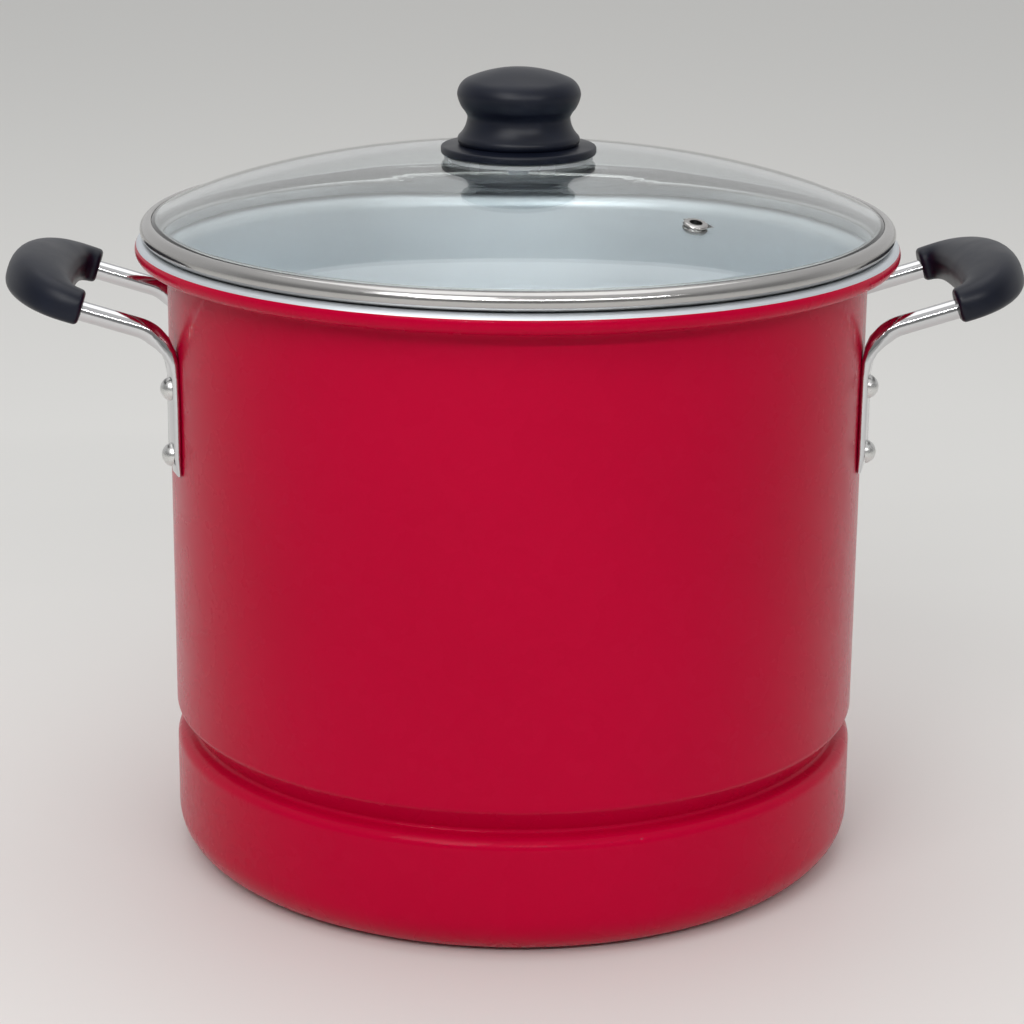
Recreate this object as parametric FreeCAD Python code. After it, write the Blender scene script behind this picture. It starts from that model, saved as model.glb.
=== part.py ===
# Lidded stock pot with a rolled waist, an inner steamer rack and two wire handles.
# Millimetres, +Z up, origin at the centre of the underside, handles along X.
import FreeCAD, Part
import math
import os
from FreeCAD import Vector

# ---- driving dimensions -------------------------------------------------------------

# pot
wall_radius = 142.0
sheet = 2.0
base_corner = 16.8          # outer radius between the underside and the wall
waist_radius = 134.0        # narrowest point of the rolled waist
waist_low = 50.8            # height of the waist's lower ledge
waist_shoulder = 49.4       # height where the ledge would meet the lower band
waist_top = 61.5            # crease where the waist meets the upper wall
bead_radius = 4.0           # rolled bead of the rim, outer radius
bead_centre = (150.7, 253.0)

# handles
rod_diameter = 8.0
leg_spacing = 78.8          # between the centres of one handle's two legs
leg_rise = 16.8             # degrees above level, going outwards
leg_point = (160.0, 229.7)  # a point on the legs' centre line: distance from the axis, height
wall_bend = 15.0            # centre line radius where a leg turns down the wall
grip_bend = 16.0            # centre line radius inside the grip
rod_reach = 34.0            # from leg_point to the rod's far run, along the leg
plate_thickness = 3.0
plate_width = 12.6
plate_foot = 167.0          # lower end of the flattened rod
rivet_heights = {"upper": 202.0, "lower": 175.0}
plate_gap = 0.05            # between the rod and the wall
rivet_shank = 5.0
rivet_head = 9.6
rivet_head_rise = 3.8
rivet_slack = 0.05          # between a rivet's shank and its holes
inner_head = 10.4           # the same rivet's low head inside the pot
inner_head_rise = 1.7
inner_head_gap = 0.15       # between that head and the wall

# grip, in the handle's own frame
grip_start = 14.2           # from leg_point to the collars' faces, along the leg
palm_reach = 34.0           # from the collars to the grip's outermost line
palm_recess = 6.7           # from the collars to the palm's inner face
outer_half = 47.8           # half lengths across the handle, outside and inside
inner_half = 33.0
collar_under = 5.2          # below the rod's centre line at the collars
palm_under = 6.7            # the same in the middle
collar_over = 8.4           # above the rod's centre line at the collars
palm_over = 11.8

# lid
glass_thickness = 4.0
glass_apex = 288.3
dome_bends = [(750.0, 60.0), (300.0, 125.0), (173.2, 147.5)]   # radius, how far out it runs
band_centre = (148.8, 260.8)
band_radius = 3.7           # half-round outer roll of the band
band_sheet = 0.8
skirt_radius = 142.4        # centre line of the skirt that drops inside the rim
skirt_foot = 252.6
vent_place = (62.1, -91.0)
vent_hole = 5.0
vent_flange = 9.6
eyelet_wall = 0.65
eyelet_slack = 0.05         # between the eyelet's tube and its hole
centre_bore = 4.6           # radius of the glass's centre hole

# knob
knob_base = 289.6
knob_height = 34.55
screw_diameter = 5.0
insert_diameter = 9.0
insert_height = 13.0
washer_height = 1.2
gasket_radius = 30.0        # clear disc over the glass
lower_gasket_radius = 11.0  # disc under the glass
sleeve_radius = 4.5         # its sleeve in the centre hole
gasket_bore = screw_diameter / 2 + 0.15

# steamer rack
rack_radius = 135.4
rack_sheet = 1.5
rack_bend = 2.5             # outer radius between the disc and its rim
rack_rim = 6.0
rack_gap = 0.35             # clear of the waist's inner cone
rack_hole = 8.0
rack_rings = [(30, 8), (52, 14), (74, 20), (96, 26), (118, 32)]   # radius, number of holes
finger_hole = 22.0

tau = 2.0 * math.pi
axis_up = Vector(0, 0, 1)
rise = math.radians(leg_rise)
leg_half = leg_spacing / 2
rod_axis_radius = wall_radius + plate_gap + rod_diameter / 2
rod_wall_x = math.sqrt(rod_axis_radius ** 2 - leg_half ** 2)


# ---- helpers ------------------------------------------------------------------------

def save(name, shape):
    """Write one sub-part, after a look at its health."""
    if not shape.isValid():
        print("NOT VALID", name)
    print(name, "solids", len(shape.Solids), "volume", round(shape.Volume, 1))
    shape.exportStep("parts/" + name + ".step")


def at(radius, height):
    """A point of a revolved outline."""
    return Vector(radius, 0, height)


def line(start, end):
    return Part.LineSegment(start, end).toShape()


def arc(start, middle, end):
    return Part.Arc(start, middle, end).toShape()


def bead_point(centre, radius, degrees):
    angle = math.radians(degrees)
    return at(centre[0] + radius * math.cos(angle), centre[1] + radius * math.sin(angle))


def bead_arc(centre, radius, start, end):
    """An arc of a revolved outline about a centre, from one angle to another."""
    middle = 0.5 * (start + end)
    return arc(*[bead_point(centre, radius, degrees) for degrees in (start, middle, end)])


def offset_corners(corners, distance):
    """Shift a line of (radius, height, fillet) corners to its left by a distance."""
    points = [Vector(r, h, 0) for r, h, fillet in corners]
    runs = [(b - a).normalize() for a, b in zip(points, points[1:])]
    lefts = [Vector(-run.y, run.x, 0) for run in runs]
    shifted = []
    for i, (r, h, fillet) in enumerate(corners):
        before, after = lefts[max(i - 1, 0)], lefts[min(i, len(lefts) - 1)]
        half = (before + after) / (1.0 + before.dot(after))
        turn = before.cross(after).z
        grown = fillet - math.copysign(distance, turn) if fillet else 0.0
        place = points[i] + half * distance
        shifted.append((place.x, place.y, grown))
    return shifted


def fillet_path(corners):
    """Straight runs joined by tangent arcs through (radius, height, fillet) corners."""
    points = [at(r, h) for r, h, fillet in corners]
    edges = []
    start = points[0]
    for i in range(1, len(points) - 1):
        back = (points[i - 1] - points[i]).normalize()
        ahead = (points[i + 1] - points[i]).normalize()
        inner = back.getAngle(ahead)
        reach = corners[i][2] / math.tan(inner / 2)
        to_centre = (back + ahead).normalize()
        gap = corners[i][2] / math.sin(inner / 2) - corners[i][2]
        entry, leave = points[i] + back * reach, points[i] + ahead * reach
        edges += [line(start, entry), arc(entry, points[i] + to_centre * gap, leave)]
        start = leave
    return edges + [line(start, points[-1])]


def revolved(edges):
    """Turn a closed outline in the XZ plane once about Z."""
    wire = Part.Wire(Part.__sortEdges__(edges))
    solid = Part.Face(wire).revolve(Vector(0, 0, 0), axis_up, 360)
    return solid if solid.Volume > 0 else solid.reversed()


def crown_arc(rim, apex):
    """An arc from the rim of a crown up (or down) to its apex on the axis."""
    radius, height = rim
    rise_of_crown = apex - height
    sphere = (radius ** 2 + rise_of_crown ** 2) / (2 * rise_of_crown)
    centre = apex - sphere
    side = math.copysign(1.0, rise_of_crown)
    middle = at(radius / 2, centre + side * math.sqrt(sphere ** 2 - radius ** 2 / 4))
    return arc(at(radius, height), middle, at(0, apex))


def closed_outline(points):
    """Straight edges round a list of (radius, height) points."""
    places = [at(r, h) for r, h in points]
    return [line(a, b) for a, b in zip(places, places[1:] + places[:1])]


def cylinder(radius, low, high, place=(0, 0)):
    return Part.makeCylinder(radius, high - low, Vector(place[0], place[1], low), axis_up)


def turned(shape, degrees):
    copy = shape.copy()
    copy.rotate(Vector(0, 0, 0), axis_up, degrees)
    return copy


# ---- pot shell ----------------------------------------------------------------------

def flare_start(radius):
    """Height where the 45 degree flare of the rim leaves a wall of this outer radius."""
    tangent = bead_point(bead_centre, bead_radius - sheet, 135)
    return tangent.z - (tangent.x - radius)


outer_corners = [
    (0, 0, 0),
    (wall_radius, 0, base_corner),
    (wall_radius, waist_shoulder, 5.2),
    (waist_radius, waist_low, 1.3),
    (wall_radius, waist_top, 3.5),
    (wall_radius, flare_start(wall_radius), 5.0),
    (bead_point(bead_centre, bead_radius - sheet, 135).x,
     bead_point(bead_centre, bead_radius - sheet, 135).z, 0),
]
inner_corners = offset_corners(outer_corners, sheet)
curl_end = -152             # degrees about the bead's centre where the curl stops


def rivet_azimuths():
    """The four legs, as (node prefix, degrees round the pot)."""
    half = math.degrees(math.atan2(leg_half, rod_wall_x))
    return {
        "right_front": -half,
        "right_rear": half,
        "left_rear": 180 - half,
        "left_front": 180 + half,
    }


def rivet_bore(azimuth, height):
    """A radial rod through the wall and the handle's plate, to cut a rivet's hole."""
    reach = 15
    bore = Part.makeCylinder(rivet_shank / 2 + rivet_slack, 2 * reach,
                             Vector(wall_radius - reach, 0, height), Vector(1, 0, 0))
    return turned(bore, azimuth)


def rivet_bores():
    return [rivet_bore(azimuth, height)
            for azimuth in rivet_azimuths().values() for height in rivet_heights.values()]


def pot_shell():
    edges = fillet_path(outer_corners)
    edges += [bead_arc(bead_centre, bead_radius - sheet, 135, curl_end)]
    edges += [line(bead_point(bead_centre, bead_radius - sheet, curl_end),
                   bead_point(bead_centre, bead_radius, curl_end))]
    edges += [bead_arc(bead_centre, bead_radius, curl_end, 135)]
    edges += fillet_path(inner_corners)
    edges += [line(at(0, 0), at(0, sheet))]
    return revolved(edges).cut(rivet_bores())


# ---- handles ------------------------------------------------------------------------

def handle_point(along, across, over):
    """A point in the right handle's frame: outwards along the leg, along Y, and over it."""
    return Vector(leg_point[0] + along * math.cos(rise) - over * math.sin(rise), across,
                  leg_point[1] + along * math.sin(rise) + over * math.cos(rise))


def rounded_run(points, radii):
    """A wire of straight runs and tangent arcs through points in space."""
    edges = []
    start = points[0]
    for before, corner, after, radius in zip(points, points[1:], points[2:], radii):
        back = (before - corner).normalize()
        ahead = (after - corner).normalize()
        inner = back.getAngle(ahead)
        reach = radius / math.tan(inner / 2)
        gap = radius / math.sin(inner / 2) - radius
        entry, leave = corner + back * reach, corner + ahead * reach
        middle = corner + (back + ahead).normalize() * gap
        edges += [line(start, entry), arc(entry, middle, leave)]
        start = leave
    return Part.Wire(edges + [line(start, points[-1])])


bend_turn = math.pi / 2 - rise
bend_corner = handle_point((rod_wall_x - leg_point[0]) / math.cos(rise), 0, 0)
bend_foot = bend_corner.z - wall_bend * math.tan(bend_turn / 2)
flattening = math.radians(46)       # how far up its wall bend a leg starts to flatten


def bend_point(turn, across):
    """A point of a leg's centre line in its wall bend; turn is 0 at the foot of the bend."""
    return Vector(rod_wall_x + wall_bend * (1 - math.cos(turn)), across,
                  bend_foot + wall_bend * math.sin(turn))


def section_frame(turn, height, side, twist):
    """Origin, outward and sideways directions of a section across a leg."""
    origin = bend_point(turn, side * leg_half)
    if turn == 0:
        origin.z = height
    outward = Vector(math.cos(turn), 0, -math.sin(turn))
    sideways = Vector(0, 1, 0)
    azimuth = side * twist * math.atan2(leg_half, rod_wall_x)
    return (origin, outward * math.cos(azimuth) + sideways * math.sin(azimuth),
            sideways * math.cos(azimuth) - outward * math.sin(azimuth))


def flat_section(frame, half_thickness, half_width, corner):
    """A rounded rectangle whose inner face keeps the rod's distance from the wall."""
    origin, outward, sideways = frame

    def place(out, across):
        return origin + outward * (out + half_thickness - rod_diameter / 2) + sideways * across

    slope = corner * (1 - math.sqrt(0.5))
    edges = []
    last = None
    for i, (sx, sy) in enumerate([(1, -1), (1, 1), (-1, 1), (-1, -1)]):
        x, y = sx * half_thickness, sy * half_width
        on_x, on_y = place(x - sx * corner, y), place(x, y - sy * corner)
        entry, leave = (on_x, on_y) if i % 2 == 0 else (on_y, on_x)
        if last is not None:
            edges.append(line(last, entry))
        edges.append(arc(entry, place(x - sx * slope, y - sy * slope), leave))
        last = leave
    edges.append(line(last, edges[0].Vertexes[0].Point))
    return Part.Wire(edges)


def round_section(frame):
    """The rod's circle, cut into eight arcs that pair with a flat section."""
    origin, outward, sideways = frame
    flat = 12               # degrees taken by each of the four short arcs

    def on_circle(degrees):
        angle = math.radians(degrees)
        return origin + (outward * math.cos(angle) + sideways * math.sin(angle)) * (rod_diameter / 2)

    edges = []
    for side in (-90, 0, 90, 180):
        stops = (side + flat / 2, side + 45, side + 90 - flat / 2, side + 90, side + 90 + flat / 2)
        edges.append(arc(*[on_circle(stop) for stop in stops[:3]]))
        edges.append(arc(*[on_circle(stop) for stop in stops[2:]]))
    return Part.Wire(edges)


def flattened_end(side):
    """A leg's end from round, half way down its bend, to a riveted plate tapered at its foot."""
    half = plate_thickness / 2
    upper = rivet_heights["upper"]
    sections = [round_section(section_frame(flattening, 0, side, 0))]
    # share of the flattened bend, share of the twist, half thickness, half width, corner
    for share, twist, thickness, width, corner in [(0.66, 0.3, 3.4, 4.5, 2.9),
                                                   (0.33, 0.65, 2.7, 5.0, 2.1)]:
        frame = section_frame(flattening * share, 0, side, twist)
        sections.append(flat_section(frame, thickness, width, corner))
    for height, thickness, width, corner in [(bend_foot, 2.05, 5.3, 1.6),
                                             (upper + 4.9, half, 5.6, 1.2),
                                             (upper - 7, half, plate_width / 2, 1.2),
                                             (plate_foot + 8, half, plate_width / 2, 1.2),
                                             (plate_foot, half - 0.7, plate_width / 2 - 0.8, 0.6)]:
        sections.append(flat_section(section_frame(0, height, side, 1), thickness, width, corner))
    end = Part.makeLoft(sections, True, True)
    return end if end.Volume > 0 else end.reversed()


def handle_rod():
    """Right handle: one bent rod with both ends flattened against the wall."""
    middle_turn = 0.5 * (flattening + bend_turn)
    rear_bend = [bend_point(turn, leg_half) for turn in (flattening, middle_turn, bend_turn)]
    front_bend = [Vector(p.x, -p.y, p.z) for p in reversed(rear_bend)]
    corners = [handle_point(rod_reach, leg_half, 0), handle_point(rod_reach, -leg_half, 0)]
    run = rounded_run([rear_bend[-1]] + corners + [front_bend[0]], [grip_bend, grip_bend])
    spine = Part.Wire([arc(*rear_bend)] + run.Edges + [arc(*front_bend)])
    along = Vector(math.sin(flattening), 0, math.cos(flattening))
    ring = Part.Wire(Part.makeCircle(rod_diameter / 2, rear_bend[0], along))
    rod = spine.makePipeShell([ring], True, False)
    rod = rod if rod.Volume > 0 else rod.reversed()
    return rod.fuse([flattened_end(-1), flattened_end(1)]).removeSplitter().cut(rivet_bores())


def grip_section(turn):
    """One section of the grip; turn runs from -90 at the front collar to 90 at the rear."""
    cosine = math.cos(math.radians(turn)) if abs(turn) < 90 else 0.0
    sine = math.sin(math.radians(turn))
    outer = (grip_start + palm_reach * cosine ** 0.86,
             outer_half * math.copysign(abs(sine) ** 0.92, sine))
    inner = (grip_start + palm_recess * cosine ** 0.4,
             inner_half * math.copysign(abs(sine) ** 1.1, sine))
    middle = (0.5 * (outer[0] + inner[0]), 0.5 * (outer[1] + inner[1]))
    run = (0.5 * (outer[0] - inner[0]), 0.5 * (outer[1] - inner[1]))
    fullness = cosine ** 1.3
    over = collar_over + (palm_over - collar_over) * fullness
    under = collar_under + (palm_under - collar_under) * fullness
    points = []
    steps = 20
    for i in range(steps):
        around = tau * (i + 0.5) / steps
        side, up = math.cos(around), math.sin(around)
        square = 0.80 if up > 0 else 0.60
        share = math.copysign(abs(side) ** square, side)
        height = math.copysign(abs(up) ** square, up) * (over if up > 0 else under)
        points.append(handle_point(middle[0] + run[0] * share, middle[1] + run[1] * share, height))
    curve = Part.BSplineCurve()
    curve.interpolate(Points=points, PeriodicFlag=True)
    return Part.Wire(curve.toShape())


def handle_grip(rod):
    """One moulding round the handle's far run, with a hole that takes the rod."""
    turns = [-90, -84, -72, -56, -38, -19, 0, 19, 38, 56, 72, 84, 90]
    body = Part.makeLoft([grip_section(turn) for turn in turns], True, False)
    body = body if body.Volume > 0 else body.reversed()
    return body.cut(rod)


def mirrored(shape):
    return shape.mirror(Vector(0, 0, 0), Vector(1, 0, 0))


def rivet(azimuth, height):
    """Solid rivet: a domed head outside on the plate and a low head inside the pot."""
    plate_face = wall_radius + plate_gap + plate_thickness
    inside = wall_radius - sheet - inner_head_gap
    head, inner, shank = rivet_head / 2, inner_head / 2, rivet_shank / 2
    edges = [
        crown_arc((head, plate_face), plate_face + rivet_head_rise),
        line(at(0, plate_face + rivet_head_rise), at(0, inside - inner_head_rise)),
        crown_arc((inner, inside), inside - inner_head_rise),
        line(at(inner, inside), at(shank, inside)),
        line(at(shank, inside), at(shank, plate_face)),
        line(at(shank, plate_face), at(head, plate_face)),
    ]
    body = revolved(edges)
    body.rotate(Vector(0, 0, 0), Vector(0, 1, 0), 90)
    body.translate(Vector(0, 0, height))
    return turned(body, azimuth)


# ---- lid ----------------------------------------------------------------------------

def dome_centres():
    """Centre and radius of each tangent arc of the glass, and the slopes where they meet."""
    centres, slopes = [], [0.0]
    along, height = 0.0, glass_apex
    last = 0.0
    for radius, reach in dome_bends:
        along += (last - radius) * math.sin(slopes[-1])
        height += (last - radius) * math.cos(slopes[-1])
        centres.append((along, height, radius))
        slopes.append(math.asin((reach - along) / radius))
        last = radius
    return centres, slopes


def dome_edges(depth):
    """The glass's arcs at a depth under its outer face, from the axis outwards."""
    centres, slopes = dome_centres()
    edges = []
    for (along, height, radius), start, end in zip(centres, slopes, slopes[1:]):
        edges.append(arc(*[at(along + (radius - depth) * math.sin(slope),
                              height + (radius - depth) * math.cos(slope))
                           for slope in (start, 0.5 * (start + end), end)]))
    return edges


def glass_disc():
    """The domed disc before it is bored."""
    top, low = dome_edges(0), dome_edges(glass_thickness)
    upper, lower = top[-1].Vertexes[-1].Point, low[-1].Vertexes[-1].Point
    slope = dome_centres()[1][-1]
    bulge = (upper + lower) * 0.5 + Vector(math.cos(slope), 0, -math.sin(slope)) * 1.6
    return revolved(top + [arc(upper, bulge, lower)] + low
                    + [line(low[0].Vertexes[0].Point, top[0].Vertexes[0].Point)])


vent_bend = dome_centres()[0][1]    # the arc of the glass that the vent stands on


def vent_axis(shape):
    """Stand a shape made about that arc's centre on the vent's place."""
    along, height, radius = vent_bend
    distance = math.hypot(*vent_place)
    tilt = math.degrees(math.asin((distance - along) / radius))
    shape.rotate(Vector(0, 0, 0), Vector(0, 1, 0), tilt)
    shape.translate(Vector(along, 0, height))
    shape.rotate(Vector(0, 0, 0), axis_up, math.degrees(math.atan2(vent_place[1], vent_place[0])))
    return shape


def through_glass(radius, face):
    """A rod through the glass, whose outer face is at a height."""
    return cylinder(radius, face - 2 * glass_thickness, face + glass_thickness)


def bored_disc():
    return glass_disc().cut(through_glass(centre_bore, glass_apex))


def lid_glass():
    tube = vent_hole / 2 + eyelet_wall
    return bored_disc().cut(vent_axis(through_glass(tube + eyelet_slack, vent_bend[2])))


def lid_band():
    """Rolled steel band: skirt inside the rim, ledge under the glass, roll over its edge."""
    half = band_sheet / 2
    low = band_centre[1] - band_radius + half
    outer = [
        (skirt_radius + half, skirt_foot, 0),
        (skirt_radius + half, low - half, 0.6),
        (band_centre[0], low - half, 0),
    ]
    inner = offset_corners(outer, band_sheet)
    lip = 104
    edges = fillet_path(outer)
    edges += [bead_arc(band_centre, band_radius, -90, lip)]
    edges += [line(bead_point(band_centre, band_radius, lip),
                   bead_point(band_centre, band_radius - band_sheet, lip))]
    edges += [bead_arc(band_centre, band_radius - band_sheet, lip, -90)]
    edges += fillet_path(inner)
    edges += [line(at(skirt_radius - half, skirt_foot), at(skirt_radius + half, skirt_foot))]
    return revolved(edges).cut(glass_disc())


def vent_eyelet():
    """Steel eyelet: a tube through the glass with a rolled flange on each face."""
    hole, flange = vent_hole / 2, vent_flange / 2
    top = vent_bend[2]
    low = top - glass_thickness
    thick, clear = 1.1, 0.04
    edges = [
        line(at(hole, low - thick), at(hole, top + thick)),
        line(at(hole, top + thick), at(flange - 1.2, top + thick)),
        arc(at(flange - 1.2, top + thick), at(flange - 0.3, top + 0.8), at(flange, top + clear)),
        line(at(flange, top + clear), at(hole + eyelet_wall, top + clear)),
        line(at(hole + eyelet_wall, top + clear), at(hole + eyelet_wall, low - clear)),
        line(at(hole + eyelet_wall, low - clear), at(flange, low - clear)),
        arc(at(flange, low - clear), at(flange - 0.3, low - 0.8), at(flange - 1.2, low - thick)),
        line(at(flange - 1.2, low - thick), at(hole, low - thick)),
    ]
    return vent_axis(revolved(edges))


# ---- knob ---------------------------------------------------------------------------

insert_foot = knob_base + 0.5
screw_seat = glass_apex - glass_thickness - 2.7


def knob():
    """Turned outline: flange, rounded foot, neck and crowned cap, bored for its insert."""
    def up(radius, height):
        return at(radius, knob_base + height)
    edges = [
        line(up(0, 0), up(30.4, 0)),
        arc(up(30.4, 0), up(31.1, 0.3), up(31.4, 1.0)),
        line(up(31.4, 1.0), up(31.4, 2.4)),
        arc(up(31.4, 2.4), up(31.1, 3.1), up(30.4, 3.4)),
        line(up(30.4, 3.4), up(23.7, 3.9)),
        arc(up(23.7, 3.9), up(24.6, 5.2), up(23.7, 7.8)),
        arc(up(23.7, 7.8), up(20.9, 13.3), up(20.7, 15.0)),
        arc(up(20.7, 15.0), up(21.4, 16.5), up(22.9, 18.5)),
        arc(up(22.9, 18.5), up(24.3, 21.4), up(24.9, 23.9)),
        arc(up(24.9, 23.9), up(24.4, 26.3), up(20.7, 30.2)),
        crown_arc((20.7, knob_base + 30.2), knob_base + knob_height),
        line(up(0, knob_height), up(0, 0)),
    ]
    bore = cylinder(insert_diameter / 2 + 0.02, knob_base - 1, insert_foot + insert_height + 1)
    return revolved(edges).cut(bore)


def knob_insert():
    """Brass bush moulded into the knob, with two grip grooves and a bore for the screw."""
    radius, bore = insert_diameter / 2, screw_diameter / 2
    outline = [(bore, 0), (radius, 0), (radius, 3.5), (radius - 0.6, 4), (radius - 0.6, 5),
               (radius, 5.5), (radius, 8), (radius - 0.6, 8.5), (radius - 0.6, 9.5),
               (radius, 10), (radius, insert_height), (bore, insert_height)]
    return revolved(closed_outline([(r, insert_foot + h) for r, h in outline]))


def knob_screw():
    """Pan-head screw up through the washer, the gaskets and the glass into the insert."""
    shank = screw_diameter / 2 - 0.05
    head, rise_of_head = 4.75, 3.2
    edges = [
        line(at(0, screw_seat - rise_of_head), at(2.6, screw_seat - rise_of_head)),
        arc(at(2.6, screw_seat - rise_of_head), at(4.3, screw_seat - 2.3), at(head, screw_seat - 0.8)),
        line(at(head, screw_seat - 0.8), at(head, screw_seat)),
        line(at(head, screw_seat), at(shank, screw_seat)),
        line(at(shank, screw_seat), at(shank, insert_foot + insert_height - 1.5)),
        line(at(shank, insert_foot + insert_height - 1.5), at(0, insert_foot + insert_height - 1)),
        line(at(0, insert_foot + insert_height - 1), at(0, screw_seat - rise_of_head)),
    ]
    slot_width, slot_length, slot_depth = 1.1, 5.6, 1.8
    slots = [Part.makeBox(a, b, slot_depth,
                          Vector(-a / 2, -b / 2, screw_seat - rise_of_head - 0.1))
             for a, b in ((slot_width, slot_length), (slot_length, slot_width))]
    return revolved(edges).cut(slots)


def knob_washer():
    bore = screw_diameter / 2 + 0.2
    outline = [(bore, 0), (9.6, 0), (10.0, 0.4), (10.0, washer_height), (bore, washer_height)]
    return revolved(closed_outline([(r, screw_seat + h) for r, h in outline]))


def knob_gasket_bottom():
    """Silicone washer under the glass, with a sleeve up its centre hole."""
    low = screw_seat + washer_height
    top = glass_apex - glass_thickness + 0.5
    sleeve_top = glass_apex - 0.2
    outline = [(gasket_bore, low), (lower_gasket_radius, low), (lower_gasket_radius, top),
               (sleeve_radius, top), (sleeve_radius, sleeve_top), (gasket_bore, sleeve_top)]
    return revolved(closed_outline(outline)).cut(bored_disc())


def knob_gasket_top():
    """Clear silicone disc between the knob's flange and the domed glass."""
    low = glass_apex - 3
    bevel = 0.5
    outline = [(gasket_bore, low), (gasket_radius, low), (gasket_radius, knob_base - bevel),
               (gasket_radius - bevel, knob_base), (gasket_bore, knob_base)]
    return revolved(closed_outline(outline)).cut(glass_disc())


# ---- steamer rack -------------------------------------------------------------------

def rack_seat():
    """Height of the rack's underside, with its bend resting on the cone inside the waist."""
    crease, waist = inner_corners[4], inner_corners[3]
    length = math.hypot(crease[0] - waist[0], crease[1] - waist[1])
    facing = ((waist[1] - crease[1]) / length, (crease[0] - waist[0]) / length)
    inwards = (rack_radius - rack_bend - crease[0]) * facing[0]
    return crease[1] - rack_bend + (rack_bend + rack_gap - inwards) / facing[1]


def steamer_rack():
    """Pressed disc with a turned-up rim, rings of round holes and a finger hole."""
    low = rack_seat()
    outer = [(0, low, 0), (rack_radius, low, rack_bend), (rack_radius, low + rack_rim, 0)]
    inner = offset_corners(outer, rack_sheet)
    edges = fillet_path(outer) + fillet_path(inner)
    edges += [line(at(rack_radius, low + rack_rim), at(rack_radius - rack_sheet, low + rack_rim))]
    edges += [line(at(0, low), at(0, low + rack_sheet))]
    holes = [cylinder(finger_hole / 2, low - 1, low + 5)]
    for radius, count in rack_rings:
        for i in range(count):
            angle = tau * i / count
            place = (radius * math.cos(angle), radius * math.sin(angle))
            holes.append(cylinder(rack_hole / 2, low - 1, low + 5, place))
    return revolved(edges).cut(holes)


# ---- write the parts ----------------------------------------------------------------

os.makedirs("parts", exist_ok=True)

save("pot_shell", pot_shell())
right_rod = handle_rod()
right_grip = handle_grip(right_rod)
save("right_handle_rod", right_rod)
save("right_handle_grip", right_grip)
save("left_handle_rod", mirrored(right_rod))
save("left_handle_grip", mirrored(right_grip))
for leg, azimuth in rivet_azimuths().items():
    for level, height in rivet_heights.items():
        save(leg + "_" + level + "_rivet", rivet(azimuth, height))
save("steamer_rack", steamer_rack())
save("lid_glass", lid_glass())
save("lid_band", lid_band())
save("vent_eyelet", vent_eyelet())
save("knob", knob())
save("knob_insert", knob_insert())
save("knob_screw", knob_screw())
save("knob_washer", knob_washer())
save("knob_gasket_top", knob_gasket_top())
save("knob_gasket_bottom", knob_gasket_bottom())
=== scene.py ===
import math

import bmesh
import bpy
from mathutils import Matrix, Vector


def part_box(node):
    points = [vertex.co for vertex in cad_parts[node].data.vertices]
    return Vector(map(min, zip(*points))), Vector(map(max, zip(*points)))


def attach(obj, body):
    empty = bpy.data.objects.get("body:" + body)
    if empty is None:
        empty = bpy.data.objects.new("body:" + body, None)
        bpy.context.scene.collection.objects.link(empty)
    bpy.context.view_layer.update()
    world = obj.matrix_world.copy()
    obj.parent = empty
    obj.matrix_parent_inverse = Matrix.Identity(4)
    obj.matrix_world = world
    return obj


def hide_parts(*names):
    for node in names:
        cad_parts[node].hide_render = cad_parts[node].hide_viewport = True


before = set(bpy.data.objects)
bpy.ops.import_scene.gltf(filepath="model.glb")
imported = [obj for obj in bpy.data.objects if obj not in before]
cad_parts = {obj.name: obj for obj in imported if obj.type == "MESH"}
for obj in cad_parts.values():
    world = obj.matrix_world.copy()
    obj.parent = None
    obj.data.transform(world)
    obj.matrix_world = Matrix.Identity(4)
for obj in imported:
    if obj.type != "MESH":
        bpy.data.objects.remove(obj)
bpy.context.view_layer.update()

# ---- sizes, in metres --------------------------------------------------------------
# The pot turns about Z, its handles lie along X, and its underside is at height 0.

mm = 0.001
turn_steps = 192            # facets round the pot
small_turn_steps = 96       # facets round the knob
on_axis = 1e-6              # nearer to the axis than this is on it

rim_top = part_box("pot_shell")[1].z
wall_radius = 142.0 * mm
sheet = 2.0 * mm
bead_radius = 4.0 * mm
bead_centre = (150.7 * mm, rim_top - bead_radius)
base_corner = 16.8 * mm
waist_radius = 134.0 * mm
waist_low = 50.8 * mm
waist_shoulder = 49.4 * mm
waist_top = 61.5 * mm
curl_start = 135            # where the bead's roll leaves the flared wall, in degrees
curl_end = -152
enamel_top = bead_centre[1] + 1.9 * mm      # height where the enamel ends on the bead

glass_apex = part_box("lid_glass")[1].z
glass_thickness = 4.0 * mm
dome_bends = [(750.0 * mm, 60.0 * mm), (300.0 * mm, 125.0 * mm), (173.2 * mm, 147.5 * mm)]
vent_hole = 3.2 * mm        # radius of the hole through the glass
centre_hole = 4.6 * mm
band_centre = (148.8 * mm, 260.8 * mm)
band_radius = 3.7 * mm
band_sheet = 0.8 * mm
band_lip = 104              # where the band ends on the glass, in degrees
edge_bulge = 1.6 * mm       # how far the glass's edge is rounded out
skirt_radius = 142.4 * mm
skirt_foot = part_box("lid_band")[0].z

knob_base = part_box("knob")[0].z
knob_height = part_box("knob")[1].z - knob_base
insert_hole = 4.52 * mm     # radius of the hole for the brass insert
insert_depth = 14.5 * mm

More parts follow.
